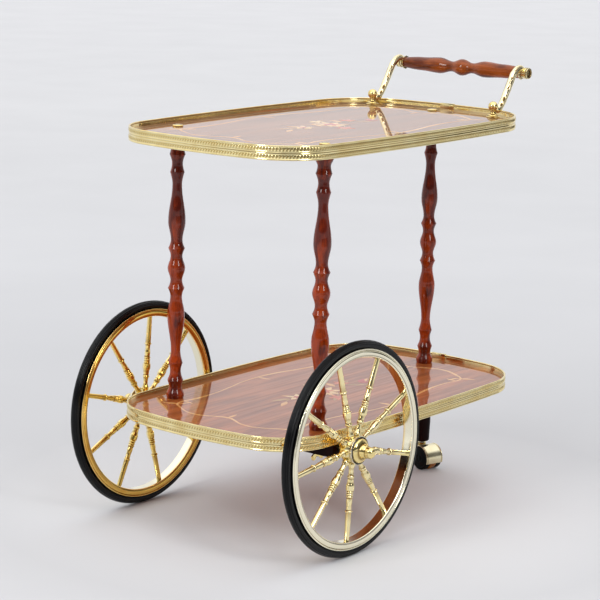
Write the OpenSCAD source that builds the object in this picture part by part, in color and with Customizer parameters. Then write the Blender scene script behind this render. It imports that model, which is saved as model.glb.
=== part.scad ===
// Bar cart on wheels: two gallery trays on three turned posts, two spoked
// wheels on stub axles, a swivel caster under the handle end and a turned
// push handle. Millimetres. +X points to the handle, +Z is up, and the origin
// is on the floor under the middle of the whole cart.

/* [Wheels] */
// Outer radius of the tyres
wheel_r = 165; // [150:1:180]
// Distance between the mid-planes of the two wheels
wheel_track = 420; // [410:1:440]
// Number of turned spokes in each wheel
spoke_count = 9; // [6:1:12]
// Turn of the left wheel at rest, in degrees
left_wheel_turn = 26.2; // [0:0.1:40]
// Turn of the right wheel at rest, in degrees
right_wheel_turn = 5.2; // [0:0.1:40]
// Radial clearance of every running fit
run_gap = 0.05; // [0.02:0.01:0.1]

/* [Trays] */
// Length of both trays over the gallery
tray_l = 654.5; // [640:0.5:670]
// Width of both trays over the gallery
tray_w = 389; // [380:1:392]
// Distance from the axle to the tray's front end
tray_front = 129.5; // [120:0.5:136]
// Height of the upper gallery's bottom edge
upper_z = 602.2; // [560:0.1:640]
// Height of the lower gallery's bottom edge
lower_z = 169.8; // [169.2:0.2:176]
// Height of the gallery strip
gallery_h = 22; // [20:1:26]
// Thickness of the boards
board_t = 14; // [12:1:16]

/* [Posts] */
// Distance from the centre line to each axle post
axle_post_y = 144; // [138:1:150]
// Distance from the axle to the post at the handle end
end_post_x = 479; // [470:1:484]

/* [Handle] */
// Distance from the axle to the handle grip's centre line
grip_x = 564; // [560:1:575]
// Height of the handle grip's centre line
grip_z = 683; // [678:1:688]
// Radius of the grip's middle bulb
grip_r = 14; // [12:0.5:15]
// Distance from the axle to the handle flanges
flange_x = 476; // [470:1:482]
// Distance from the centre line to each handle arm
arm_y = 123; // [120:1:128]

/* [Caster] */
// Turn of the caster about its stem at rest, in degrees
caster_turn = -106; // [-180:1:180]
// Radius of the caster's twin wheels
caster_r = 20; // [18:1:21]
// Distance from the swivel stem to the caster wheels' axle
caster_trail = 16; // [12:1:18]

/* [Hidden] */

// roundness of turned parts
$fn = 72;

// the axle lies half the difference between handle reach and wheel radius from the middle
axle_x = -(grip_x + grip_r - wheel_r) / 2;
axle_z = wheel_r;
tray_x0 = axle_x - tray_front;
tray_x1 = tray_x0 + tray_l;
end_post_at = axle_x + end_post_x;
post_places = [[axle_x, -axle_post_y], [axle_x, axle_post_y], [end_post_at, 0]];
upper_top = upper_z + board_t;
lower_top = lower_z + board_t;

// tray outline: shallow end and side arcs joined by round corners
end_arc_r = 750;
side_arc_r = 3600;
front_corner_r = 93;
handle_corner_r = 105;
gallery_t = 3;

// wheel
rim_r = 153;
rim_inner_r = 140.5;
rim_w = 20;
tyre_w = 13.6;
tyre_seat_r = 149.5;
hub_r = 20;
hub_w = 20;
spoke_spigot_r = 3;
axle_r = 4;
plate_r = 22;
plate_t0 = 11.5;
plate_t1 = 14;
block_half = 186;
hub_inner = 17.6;

// tie rods and their nuts
rod_r = 3;
rod_in_foot = 24;
cap_r = 8.5;

// foot and caster
foot_bottom = 46;
stem_r = 4.5;
stem_top = foot_bottom + 34;
socket_wall = 2;
hood_r = 22;
hood_wall = 1.4;
caster_w = 34;
caster_wheel_w = 10.4;
caster_pin_r = 2.5;

brass = "#d9bd6a";
gold = "#d4a93c";
mahogany = "#7a2c14";
walnut = "#a8694a";
dark_wood = "#2b1713";
steel = "#b9bbbd";
black = "#17181a";
amber = "#8a5a2b";

// ---------- outline and profile helpers ----------

// centre of a round corner of radius r, between the end arc about e and the side arc about c
function corner_centre(e, c, r, s) =
    let(a = end_arc_r - r,
        b = side_arc_r - r,
        d = norm(c - e),
        u = (c - e) / d,
        h = (d * d + a * a - b * b) / (2 * d),
        k = sqrt(a * a - h * h))
    e + u * h + [-u[1], u[0]] * s * k;

// points of one arc from angle a0 to a1
function arc_points(c, r, a0, a1, n) =
    [for (i = [0:n]) let(a = a0 + (a1 - a0) * i / n) [c[0] + r * cos(a), c[1] + r * sin(a)]];

// quarter outline from the middle of an end to the middle of the side; s is 1 at the handle, -1 in front
function quarter_outline(inset, s) =
    let(r = s > 0 ? handle_corner_r : front_corner_r,
        e = [(s > 0 ? tray_x1 : tray_x0) - s * end_arc_r, 0],
        c = [(tray_x0 + tray_x1) / 2, tray_w / 2 - side_arc_r],
        k = corner_centre(e, c, r, s),
        a_mid = s > 0 ? 0 : 180,
        a_end = atan2(k[1] - e[1], k[0] - e[0]),
        a_side = atan2(k[1] - c[1], k[0] - c[0]))
    concat(
        arc_points(e, end_arc_r - inset, a_mid, a_end, 4),
        [for (p = [1:14]) let(a = a_end + (a_side - a_end) * p / 14)
            [k[0] + (r - inset) * cos(a), k[1] + (r - inset) * sin(a)]],
        [for (p = [1:4]) let(a = a_side + (90 - a_side) * p / 4)
            [c[0] + (side_arc_r - inset) * cos(a), c[1] + (side_arc_r - inset) * sin(a)]]);

// the points before the last one, backwards
function backwards(points) = [for (i = [len(points) - 2:-1:0]) points[i]];

function mirror_y(points) =
    let(n = len(points))
    [for (i = [n - 2:-1:1]) [points[i][0], -points[i][1]]];

// the whole tray outline, pulled in by inset
module tray_outline(inset) {
    half = concat(quarter_outline(inset, 1), backwards(quarter_outline(inset, -1)));
    polygon(concat(half, mirror_y(half)));
}

// blend between two turned stations; a sharp station is a ridge, a soft one is rounded
function blend(t, sharp0, sharp1) =
    (sharp0 && sharp1) ? t
    : sharp0 ? sin(90 * t)
    : sharp1 ? 1 - cos(90 * t)
    : (1 - cos(180 * t)) / 2;

// radius points of a turned part from stations [position, diameter, sharp]
function turned(stations, steps) =
    concat([[stations[0][1] / 2, stations[0][0]]],
        [for (i = [0:len(stations) - 2])
            for (j = [1:steps])
                let(a = stations[i],
                    b = stations[i + 1],
                    f = blend(j / steps, a[2], b[2]))
                [(a[1] + (b[1] - a[1]) * f) / 2, a[0] + (b[0] - a[0]) * j / steps]]);

// solid turned about Z from its stations
module turning(stations, steps = 6) {
    points = turned(stations, steps);
    last = points[len(points) - 1];
    rotate_extrude()
        polygon(concat([[0, points[0][1]]], points, [[0, last[1]]]));
}

// ---------- trays ----------

module rod_holes(z0, h, r) {
    for (p = post_places)
        translate([p[0], p[1], z0])
            cylinder(r = r, h = h);
}

module flange_holes(z0, h) {
    for (s = [-1, 1])
        translate([axle_x + flange_x, s * arm_y, z0])
            cylinder(r = rod_r, h = h);
}

panel_t = 1.2;
panel_x0 = axle_x + 24;
panel_x1 = axle_x + 448;
panel_w = 300;
panel_r = 60;

// inlaid veneer field in the middle of a board
module panel_outline() {
    for (x = [panel_x0 + panel_r, panel_x1 - panel_r])
        for (s = [-1, 1])
            translate([x, s * (panel_w / 2 - panel_r)])
                circle(r = panel_r);
    translate([panel_x0 + panel_r, -panel_w / 2])
        square([panel_x1 - panel_x0 - 2 * panel_r, panel_w]);
    translate([panel_x0, -panel_w / 2 + panel_r])
        square([panel_x1 - panel_x0, panel_w - 2 * panel_r]);
}

module board(z0) {
    difference() {
        translate([0, 0, z0])
            linear_extrude(board_t)
                tray_outline(gallery_t);
        translate([0, 0, z0 + board_t - panel_t])
            linear_extrude(2 * panel_t)
                panel_outline();
        rod_holes(z0 - 1, board_t + 2, rod_r);
    }
}

module marquetry_panel(z_top) {
    color(walnut)
        translate([0, 0, z_top - panel_t])
            linear_extrude(panel_t)
                panel_outline();
}

// gallery strip: plain beads at both edges, two set-back bands and a groove between
module gallery(z0) {
    bead_h = 2;
    groove_h = 5;
    band_h = (gallery_h - 2 * bead_h - groove_h) / 2;
    steps = [[0, bead_h, 0], [bead_h, band_h, 0.5], [bead_h + band_h, groove_h, 1],
        [bead_h + band_h + groove_h, band_h, 0.5], [gallery_h - bead_h, bead_h, 0]];
    color(brass)
        for (s = steps)
            translate([0, 0, z0 + s[0]])
                linear_extrude(s[1])
                    difference() {
                        tray_outline(s[2]);
                        tray_outline(gallery_t);
                    }
}

// join sleeve that wraps the two ends of the gallery strip
module gallery_sleeve(z0) {
    sleeve_l = 27;
    sleeve_t = 0.8;
    slack = 0.2;
    inner_x = tray_x1 - gallery_t - slack - sleeve_t;
    color(brass)
        translate([0, -sleeve_l / 2, z0])
            union() {
                translate([tray_x1, 0, 0])
                    cube([sleeve_t, sleeve_l, gallery_h + sleeve_t]);
                translate([inner_x, 0, gallery_h])
                    cube([tray_x1 + sleeve_t - inner_x, sleeve_l, sleeve_t]);
                translate([inner_x, 0, board_t])
                    cube([sleeve_t, sleeve_l, gallery_h + sleeve_t - board_t]);
            }
}

module upper_board() {
    color(walnut)
        difference() {
            board(upper_z);
            flange_holes(upper_z - 1, board_t + 2);
        }
}

module lower_board() {
    color(walnut)
        board(lower_z);
}

// ---------- posts ----------

post_l = upper_z - lower_top;

// half of the turned post, from its middle to its end
post_half = [[0, 27.7, false], [19, 18.8, false], [31.8, 26.3, true], [44.7, 18.5, false],
    [74.7, 27.5, false], [132, 15.2, false], [152, 22.8, true], [165, 17.1, false],
    [180, 25.2, true], [191.3, 20.2, false], [203, 28.2, false], [post_l / 2, 26, true]];

function post_stations() =
    let(n = len(post_half))
    concat([for (i = [n - 1:-1:1]) [-post_half[i][0], post_half[i][1], post_half[i][2]]],
        post_half);

module post(p) {
    color(mahogany)
        difference() {
            translate([p[0], p[1], (upper_z + lower_top) / 2])
                turning(post_stations(), 5);
            translate([p[0], p[1], lower_top - 1])
                cylinder(r = rod_r, h = post_l + 2);
        }
}

// ---------- tie rods ----------

block_h = 20;
block_bottom = lower_z - block_h;
wing_nut_h = 7;

module tie_rods() {
    end_past_nut = 1.5;
    color(steel)
        for (i = [0:2]) {
            p = post_places[i];
            bottom = i < 2 ? block_bottom - wing_nut_h - end_past_nut : lower_z - rod_in_foot;
            translate([p[0], p[1], bottom])
                cylinder(r = rod_r, h = upper_top + 1 - bottom);
        }
}

// domed brass nuts on the upper tray
module tie_rod_cap_nuts() {
    dome = [[0, 2 * cap_r, true], [1.8, 2 * cap_r, true], [2.9, 14, true], [3.3, 5, true]];
    color(brass)
        for (p = post_places)
            difference() {
                translate([p[0], p[1], upper_top])
                    turning(dome, 3);
                translate([p[0], p[1], upper_top - 1])
                    cylinder(r = rod_r, h = 2);
            }
}

// wing nuts that pull the axle block up against the lower board
module tie_rod_wing_nuts() {
    nut_r = 5.5;
    ear_x = 9.4;
    ear_r = 5;
    ear_t = 2.6;
    web_h = 4;
    color(brass)
        for (i = [0:1]) {
            p = post_places[i];
            difference() {
                translate([p[0], p[1], block_bottom - wing_nut_h])
                    union() {
                        cylinder(r = nut_r, h = wing_nut_h);
                        for (s = [-1, 1])
                            translate([s * ear_x, ear_t / 2, -1])
                                rotate([90, 0, 0])
                                    cylinder(r = ear_r, h = ear_t);
                        translate([-ear_x, -ear_t / 2, 0])
                            cube([2 * ear_x, ear_t, web_h]);
                    }
                translate([p[0], p[1], block_bottom - wing_nut_h - ear_r - 2])
                    cylinder(r = rod_r, h = wing_nut_h + ear_r + 3);
            }
        }
}

// ---------- axle ----------

axle_inner = block_half - 32;
axle_outer = wheel_track / 2 + 24;

// beam under the lower board, with a routed channel at each end for a stub axle
module axle_block() {
    block_w = 34;
    color(dark_wood)
        difference() {
            translate([axle_x - block_w / 2, -block_half, block_bottom])
                cube([block_w, 2 * block_half, block_h]);
            for (s = [-1, 1]) {
                axle_ring(s, axle_inner, axle_outer, axle_r, 0);
                translate([axle_x, s * (axle_inner + axle_outer) / 2, axle_z + block_h / 2])
                    cube([2 * axle_r, axle_outer - axle_inner, block_h], center = true);
                translate([axle_x, s * axle_post_y, block_bottom - 1])
                    cylinder(r = rod_r, h = block_h + 2);
            }
        }
}

module stub_axle(side) {
    color(steel)
        axle_ring(side, axle_inner, axle_outer, axle_r, 0);
}

// ring about an axis along Y, from y0 to y1, on either side of the cart
module axle_ring(side, y0, y1, outer, inner) {
    translate([axle_x, side * (y0 + y1) / 2, axle_z])
        rotate([90, 0, 0])
            difference() {
                cylinder(r = outer, h = y1 - y0, center = true);
                if (inner > 0)
                    cylinder(r = inner, h = y1 - y0 + 2, center = true);
            }
}

// thin sleeve under the gallery and a washer between it and the hub, on each stub axle
module axle_spacers() {
    sleeve_r = 4.7;
    washer_r = 9;
    washer_t = 1;
    hub_end = wheel_track / 2 - hub_inner - 0.3;
    color(brass)
        for (s = [-1, 1]) {
            axle_ring(s, block_half, hub_end - washer_t, sleeve_r, axle_r);
            axle_ring(s, hub_end - washer_t, hub_end, washer_r, axle_r);
        }
}

// places children at a wheel's centre with +Z pointing outboard along the axle
module at_wheel(side) {
    translate([axle_x, side * wheel_track / 2, axle_z])
        rotate([-90 * side, 0, 0])
            children();
}

// turned finial nut that holds the wheel on the axle
module axle_cap_nut(side) {
    base = plate_t1 + 0.3;
    stations = [[base, 37, true], [base + 0.9, 37.4, false], [base + 3.2, 33, false],
        [base + 6.4, 22.4, true], [base + 8, 22.4, true], [base + 13.4, 18.6, false],
        [base + 14.6, 15.2, true], [base + 15.6, 15.4, true], [base + 18.4, 17, false],
        [base + 22, 15.4, false], [base + 24.4, 10, true], [base + 25.7, 3, true]];
    color(brass)
        at_wheel(side)
            difference() {
                turning(stations, 4);
                translate([0, 0, base - 1])
                    cylinder(r = axle_r, h = axle_outer - wheel_track / 2 - base + 1);
            }
}

// ---------- wheels ----------

tyre_foot_w = 9.2;

// section of the tyre below its round tread, which is also the shape of the rim's seat
module tyre_base() {
    translate([rim_r - 2, -tyre_w / 2 + 0.5])
        square([7, tyre_w - 1]);
    translate([tyre_seat_r, -tyre_foot_w / 2])
        square([6, tyre_foot_w]);
}

module tyre(side) {
    color(black)
        at_wheel(side)
            rotate_extrude($fn = 120)
                union() {
                    translate([wheel_r - tyre_w / 2, 0])
                        circle(r = tyre_w / 2, $fn = 40);
                    tyre_base();
                }
}

rim_edge_r = 2.5;
rim_belly_r = 8.96;
rim_belly_at = 146;
rim_lip_r = 1.3;

// half section of the rim, from its inner band over the broad side and the narrow lip to the seat
rim_half = concat(
    [[rim_inner_r, 0]],
    arc_points([rim_inner_r + rim_edge_r, 6.9], rim_edge_r, 180, 100, 4),
    arc_points([rim_belly_at, rim_w / 2 - rim_belly_r], rim_belly_r, 112, 68, 6),
    [[150.2, 8]],
    arc_points([rim_r - rim_lip_r, 7.9], rim_lip_r, 205, -60, 8),
    [[150.6, 5.9], [tyre_seat_r + 0.2, 4.7], [tyre_seat_r + 0.2, 0]]);

// rolled brass rim: a broad swelling on each side, a lip beside the tyre and a seat for it
module rim(side, turn) {
    color(gold)
        at_wheel(side)
            difference() {
                rotate_extrude($fn = 120)
                    difference() {
                        for (s = [0, 1])
                            mirror([0, s])
                                polygon(rim_half);
                        tyre_base();
                    }
                spoke_holes(rim_inner_r - 2, 7, turn);
            }
}

// radial holes in the wheel's mid-plane, from radius r0
module spoke_holes(r0, depth, turn) {
    for (i = [0:spoke_count - 1])
        rotate([0, 0, turn + i * 360 / spoke_count])
            translate([r0, 0, 0])
                rotate([0, 90, 0])
                    cylinder(r = spoke_spigot_r, h = depth);
}

// the turn of a wheel, counted the same way on both sides of the cart
function wheel_turn(side, turn) = side < 0 ? turn : -turn;

// one turned spoke along its own axis, from the hub to the rim, with a spigot at each end
spoke_stations = [[hub_r + 0.05, 9.4, true], [24, 11, false], [30.5, 7.4, false], [36, 7.4, false],
    [40, 8.8, true], [42.2, 10.8, false], [44.6, 8.8, true], [50, 9.6, false],
    [56.5, 12.8, false], [63, 12.2, true], [63.8, 9.2, true], [65.5, 10.8, false],
    [67.2, 8.8, true], [69.2, 10.8, false], [71, 8.8, true], [73, 10.8, false],
    [75, 8.6, false], [80, 9.3, false], [88, 7.8, false], [93.6, 8.2, true],
    [95.4, 11.2, false], [97.2, 8.8, true], [rim_inner_r - 0.1, 7.8, true]];

module spokes(side, turn) {
    color(gold)
        at_wheel(side)
            for (i = [0:spoke_count - 1])
                rotate([0, 0, wheel_turn(side, turn) + i * 360 / spoke_count])
                    rotate([0, 90, 0])
                        union() {
                            turning(spoke_stations, 3);
                            translate([0, 0, 15])
                                cylinder(r = spoke_spigot_r, h = rim_inner_r - 10);
                        }
}

module hub(side, turn) {
    stations = [[-hub_inner, 18, true], [-hub_inner + 4, 18, true], [-hub_w / 2 - 1, 24, true],
        [-hub_w / 2, 36, true], [-hub_w / 2 + 3, 2 * hub_r, true],
        [hub_w / 2 - 3, 2 * hub_r, true], [hub_w / 2, 36, true], [plate_t0, 36, true]];
    color(brass)
        at_wheel(side)
            difference() {
                turning(stations, 1);
                translate([0, 0, -hub_inner - 1])
                    cylinder(r = axle_r + run_gap, h = hub_inner + plate_t0 + 2);
                spoke_holes(15, hub_r, wheel_turn(side, turn));
            }
}

// cover plate on the outboard end of the hub, with a turned groove
module hub_plate(side) {
    groove_inner_r = 19.2;
    groove_outer_r = 20.4;
    groove_depth = 0.8;
    color(steel)
        at_wheel(side)
            difference() {
                translate([0, 0, plate_t0])
                    cylinder(r = plate_r, h = plate_t1 - plate_t0);
                translate([0, 0, plate_t0 - 1])
                    cylinder(r = axle_r + run_gap, h = plate_t1 - plate_t0 + 2);
                translate([0, 0, plate_t1 - groove_depth])
                    difference() {
                        cylinder(r = groove_outer_r, h = 2);
                        cylinder(r = groove_inner_r, h = 2);
                    }
            }
}

module wheel_left_tyre() { tyre(-1); }
module wheel_left_rim() { rim(-1, wheel_turn(-1, left_wheel_turn)); }
module wheel_left_spokes() { spokes(-1, left_wheel_turn); }
module wheel_left_hub() { hub(-1, left_wheel_turn); }
module wheel_left_hub_plate() { hub_plate(-1); }
module wheel_right_tyre() { tyre(1); }
module wheel_right_rim() { rim(1, wheel_turn(1, right_wheel_turn)); }
module wheel_right_spokes() { spokes(1, right_wheel_turn); }
module wheel_right_hub() { hub(1, right_wheel_turn); }
module wheel_right_hub_plate() { hub_plate(1); }

// ---------- handle ----------

arm_r = 6.2;
arm_flat = 0.86;
collar_r = 11.6;
collar_half = 5;
ball_z = upper_top + 18;
ball_r = 8;
rod_half = arm_y + 8;

// turned flange with a neck and a ball that carries the arm
module handle_flange(side) {
    stations = [[0, 22, true], [1, 22, true], [3.4, 17, false], [6.5, 10, false],
        [9, 8.6, false], [13.4, 9.4, true]];
    place = [axle_x + flange_x, side * arm_y];
    color(brass)
        union() {
            translate([place[0], place[1], upper_top])
                turning(stations, 4);
            translate([place[0], place[1], ball_z])
                sphere(r = ball_r);
            translate([place[0], place[1], upper_z - 7])
                cylinder(r = rod_r, h = board_t + 9);
        }
}

module handle_flange_nuts() {
    nut_r = 6;
    nut_h = 5;
    color(brass)
        for (s = [-1, 1])
            difference() {
                translate([axle_x + flange_x, s * arm_y, upper_z - nut_h])
                    cylinder(r = nut_r, h = nut_h, $fn = 6);
                translate([axle_x + flange_x, s * arm_y, upper_z - nut_h - 1])
                    cylinder(r = rod_r, h = nut_h + 2);
            }
}

// centre line of an arm, from the ball up and over to the collar
arm_route = [[5.4, -5.6], [15.5, -6.2], [24, 0.6], [31.5, 10.5], [39.5, 22], [48, 35],
    [55.5, 46], [63.5, 53.4], [72, 56.6], [79, 56.4]];

// smooth point on the arm's route, by a Catmull-Rom curve through its points
function route_point(i) = arm_route[max(0, min(len(arm_route) - 1, i))];
function curve_point(i, t) =
    let(a = route_point(i - 1),
        b = route_point(i),
        c = route_point(i + 1),
        d = route_point(i + 2))
    0.5 * (2 * b + (c - a) * t + (2 * a - 5 * b + 4 * c - d) * t * t
        + (3 * b - a - 3 * c + d) * t * t * t);

arm_steps = 3;
arm_sides = 20;
arm_line = [for (i = [0:len(arm_route) - 2])
    for (j = [0:arm_steps - 1])
        curve_point(i, j / arm_steps)];

// half width of the arm at a share f of its length: a little wider in the middle
function arm_width(f) = arm_r * (0.88 + 0.14 * sin(170 * f));

// an arm is swept as rings of points square to its centre line
module arm_sweep() {
    n = len(arm_line);
    rings = [for (i = [0:n - 1])
        let(a = arm_line[max(0, i - 1)],
            b = arm_line[min(n - 1, i + 1)],
            t = (b - a) / norm(b - a),
            w = arm_width(i / (n - 1)))
        for (k = [0:arm_sides - 1])
            let(g = 360 * k / arm_sides)
            [arm_line[i][0] - t[1] * w * cos(g), w * arm_flat * sin(g),
                arm_line[i][1] + t[0] * w * cos(g)]];
    sides = [for (i = [0:n - 2])
        for (k = [0:arm_sides - 1])
            let(k2 = (k + 1) % arm_sides)
            [i * arm_sides + k, i * arm_sides + k2,
                (i + 1) * arm_sides + k2, (i + 1) * arm_sides + k]];
    first = [for (k = [arm_sides - 1:-1:0]) k];
    last = [for (k = [0:arm_sides - 1]) (n - 1) * arm_sides + k];
    polyhedron(points = rings, faces = concat([first], sides, [last]));
}

// engraved arm with a flared collar around the grip's end
module handle_arm(side) {
    color(brass)
        difference() {
            union() {
                translate([axle_x + flange_x, side * arm_y, ball_z])
                    arm_sweep();
                translate([axle_x + grip_x, side * arm_y, grip_z])
                    rotate([90 * side, 0, 0])
                        turning([[-collar_half, 19, true], [-2, 17.5, false],
                            [2, 19, false], [collar_half, 2 * collar_r, true]], 3);
            }
            translate([axle_x + grip_x, 0, grip_z])
                rotate([90, 0, 0])
                    cylinder(r = rod_r, h = 2 * arm_y + 60, center = true);
            translate([axle_x + flange_x, side * arm_y, ball_z])
                sphere(r = ball_r);
        }
}

grip_half = arm_y - collar_half;

// turned grip, the same on both sides of its middle bulb
module handle_grip() {
    half = [[0, 2 * grip_r, false], [20.5, 17.3, false], [46, 27, false],
        [82, 23, false], [grip_half, 17.5, true]];
    n = len(half);
    stations = concat([for (i = [n - 1:-1:1]) [-half[i][0], half[i][1], half[i][2]]], half);
    color(mahogany)
        difference() {
            translate([axle_x + grip_x, 0, grip_z])
                rotate([90, 0, 0])
                    turning(stations, 7);
            translate([axle_x + grip_x, 0, grip_z])
                rotate([90, 0, 0])
                    cylinder(r = rod_r, h = 2 * grip_half + 2, center = true);
        }
}

module handle_rod() {
    color(steel)
        translate([axle_x + grip_x, 0, grip_z])
            rotate([90, 0, 0])
                cylinder(r = rod_r, h = 2 * rod_half, center = true);
}

// ringed end caps screwed onto the rod outside each arm
module handle_end_caps() {
    cap_l = 6;
    recess_r = 6.4;
    boss_r = 3.4;
    recess_depth = 1.2;
    color(brass)
        for (s = [-1, 1])
            translate([axle_x + grip_x, s * (arm_y + collar_half), grip_z])
                rotate([-90 * s, 0, 0])
                    difference() {
                        turning([[0, 16, true], [1.5, 18.8, true], [cap_l - 1, 18.8, true],
                            [cap_l, 16.8, true]], 1);
                        translate([0, 0, -1])
                            cylinder(r = rod_r, h = rod_half - arm_y - collar_half + 1);
                        translate([0, 0, cap_l - recess_depth])
                            difference() {
                                cylinder(r = recess_r, h = 3);
                                cylinder(r = boss_r, h = 5, center = true);
                            }
                    }
}

// ---------- foot and caster ----------

// dark turned foot between the lower board and the caster
module caster_foot() {
    stations = [[foot_bottom, 22, true], [foot_bottom + 2.8, 26, false],
        [foot_bottom + 40, 28.2, false], [foot_bottom + 90, 29.4, false],
        [lower_z, 29.4, true]];
    color(dark_wood)
        difference() {
            translate([end_post_at, 0, 0])
                turning(stations, 5);
            translate([end_post_at, 0, foot_bottom - 1])
                cylinder(r = stem_r + socket_wall, h = stem_top - foot_bottom + socket_wall + 1);
            translate([end_post_at, 0, lower_z - rod_in_foot])
                cylinder(r = rod_r, h = rod_in_foot + 1);
        }
}

// steel sleeve in the foot that the caster's stem turns in
module caster_socket() {
    color(steel)
        translate([end_post_at, 0, foot_bottom])
            difference() {
                cylinder(r = stem_r + socket_wall, h = stem_top - foot_bottom + socket_wall);
                translate([0, 0, -1])
                    cylinder(r = stem_r + run_gap, h = stem_top - foot_bottom + 2);
            }
}

// places children at the caster wheels' centre, with +X pointing away from the stem
module at_caster() {
    translate([end_post_at, 0, 0])
        rotate([0, 0, caster_turn])
            translate([caster_trail, 0, caster_r])
                children();
}

hood_top = foot_bottom - 3;
boss_h = 12;

module caster_stem() {
    color(steel)
        translate([end_post_at, 0, hood_top - boss_h / 2])
            cylinder(r = stem_r, h = stem_top - hood_top + boss_h / 2);
}

// brass mudguard over both wheels, open below and at the front, with a boss for the stem
module caster_hood() {
    boss_wall = 3;
    front_cut = 25;
    skirt_drop = 7;
    color(brass)
        difference() {
            union() {
                at_caster()
                    rotate([90, 0, 0])
                        difference() {
                            cylinder(r = hood_r, h = caster_w, center = true);
                            cylinder(r = hood_r - hood_wall, h = caster_w + 2, center = true);
                        }
                translate([end_post_at, 0, hood_top - boss_h])
                    cylinder(r = stem_r + boss_wall, h = boss_h);
            }
            at_caster()
                rotate([90, 0, 0])
                    cylinder(r = hood_r - hood_wall, h = caster_w + 2, center = true);
            at_caster()
                translate([-hood_r - 1, -caster_w, -hood_r - 1])
                    cube([2 * hood_r + 2, 2 * caster_w, hood_r + 1 - skirt_drop]);
            at_caster()
                rotate([0, front_cut, 0])
                    translate([-hood_r - 8, -caster_w, -hood_r - 8])
                        cube([hood_r + 8, 2 * caster_w, hood_r + 8]);
            translate([end_post_at, 0, hood_top - boss_h / 2])
                cylinder(r = stem_r, h = boss_h / 2 + 1);
        }
}

// moulded body between the wheels, cut off flat above the floor
module caster_core() {
    wheel_gap = 1.2;
    core_half = caster_w / 2 - caster_wheel_w - wheel_gap;
    flat_z = 1.4;
    cut_h = 30;
    color(amber)
        at_caster()
            rotate([90, 0, 0])
                difference() {
                    cylinder(r = hood_r - hood_wall, h = 2 * core_half, center = true);
                    cylinder(r = caster_pin_r, h = caster_w, center = true);
                    translate([0, flat_z - caster_r - cut_h / 2, 0])
                        cube([2 * hood_r + 2, cut_h, caster_w], center = true);
                }
}

module caster_pin() {
    color(steel)
        at_caster()
            rotate([90, 0, 0])
                cylinder(r = caster_pin_r, h = caster_w - 3, center = true);
}

// one disc wheel of the twin caster
module caster_wheel(side) {
    mid = side * (caster_w / 2 - caster_wheel_w / 2);
    color(black)
        at_caster()
            translate([0, mid, 0])
                rotate([-90 * side, 0, 0])
                    difference() {
                        turning([[-caster_wheel_w / 2, 2 * caster_r - 2, true],
                            [-caster_wheel_w / 2 + 1.2, 2 * caster_r, true],
                            [caster_wheel_w / 2 - 1.2, 2 * caster_r, true],
                            [caster_wheel_w / 2, 2 * caster_r - 3, true]], 1);
                        translate([0, 0, -caster_wheel_w / 2 - 1])
                            cylinder(r = caster_pin_r + run_gap, h = caster_wheel_w);
                    }
}

module caster_wheel_left() { caster_wheel(1); }
module caster_wheel_right() { caster_wheel(-1); }

// ---------- node modules that share a shape ----------

module upper_marquetry_panel() { marquetry_panel(upper_top); }
module lower_marquetry_panel() { marquetry_panel(lower_top); }
module upper_gallery() { gallery(upper_z); }
module lower_gallery() { gallery(lower_z); }
module upper_gallery_sleeve() { gallery_sleeve(upper_z); }
module lower_gallery_sleeve() { gallery_sleeve(lower_z); }
module axle_post_left() { post(post_places[0]); }
module axle_post_right() { post(post_places[1]); }
module handle_end_post() { post(post_places[2]); }
module stub_axle_left() { stub_axle(-1); }
module stub_axle_right() { stub_axle(1); }
module axle_cap_nut_left() { axle_cap_nut(-1); }
module axle_cap_nut_right() { axle_cap_nut(1); }
module handle_flange_left() { handle_flange(-1); }
module handle_flange_right() { handle_flange(1); }
module handle_arm_left() { handle_arm(-1); }
module handle_arm_right() { handle_arm(1); }

upper_board();
upper_marquetry_panel();
upper_gallery();
upper_gallery_sleeve();
lower_board();
lower_marquetry_panel();
lower_gallery();
lower_gallery_sleeve();
axle_post_left();
axle_post_right();
handle_end_post();
tie_rods();
tie_rod_cap_nuts();
tie_rod_wing_nuts();
axle_block();
stub_axle_left();
stub_axle_right();
axle_spacers();
axle_cap_nut_left();
axle_cap_nut_right();
caster_foot();
caster_socket();
handle_flange_left();
handle_flange_right();
handle_flange_nuts();
handle_arm_left();
handle_arm_right();
handle_grip();
handle_rod();
handle_end_caps();
wheel_left_tyre();
wheel_left_rim();
wheel_left_spokes();
wheel_left_hub();
wheel_left_hub_plate();
wheel_right_tyre();
wheel_right_rim();
wheel_right_spokes();
wheel_right_hub();
wheel_right_hub_plate();
caster_stem();
caster_hood();
caster_core();
caster_pin();
caster_wheel_left();
caster_wheel_right();
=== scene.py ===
"""Looks of the bar cart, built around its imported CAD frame. Shapes are in millimetres, placed in metres."""

import math

import bmesh
import bpy
from mathutils import Matrix, Vector


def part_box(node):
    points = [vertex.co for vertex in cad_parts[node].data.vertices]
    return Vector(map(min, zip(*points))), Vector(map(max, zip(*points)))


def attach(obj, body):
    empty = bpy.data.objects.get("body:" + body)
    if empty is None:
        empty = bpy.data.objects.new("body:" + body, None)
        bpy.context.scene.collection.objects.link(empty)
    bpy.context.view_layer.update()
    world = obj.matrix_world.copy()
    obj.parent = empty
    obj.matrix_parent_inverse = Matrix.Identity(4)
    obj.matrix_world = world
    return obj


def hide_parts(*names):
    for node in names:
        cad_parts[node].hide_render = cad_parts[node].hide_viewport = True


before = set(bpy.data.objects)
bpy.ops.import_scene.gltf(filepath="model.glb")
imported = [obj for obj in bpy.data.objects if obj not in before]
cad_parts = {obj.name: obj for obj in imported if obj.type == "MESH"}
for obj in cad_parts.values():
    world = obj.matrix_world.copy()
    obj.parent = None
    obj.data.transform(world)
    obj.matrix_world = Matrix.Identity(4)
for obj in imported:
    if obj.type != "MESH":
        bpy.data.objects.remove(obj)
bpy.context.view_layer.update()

MM = 0.001
CONCAVE_RADIUS = 2.5    # hollows tighter than this, in millimetres, get the most painted shade


# ---------- places, from the frame ----------

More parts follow.
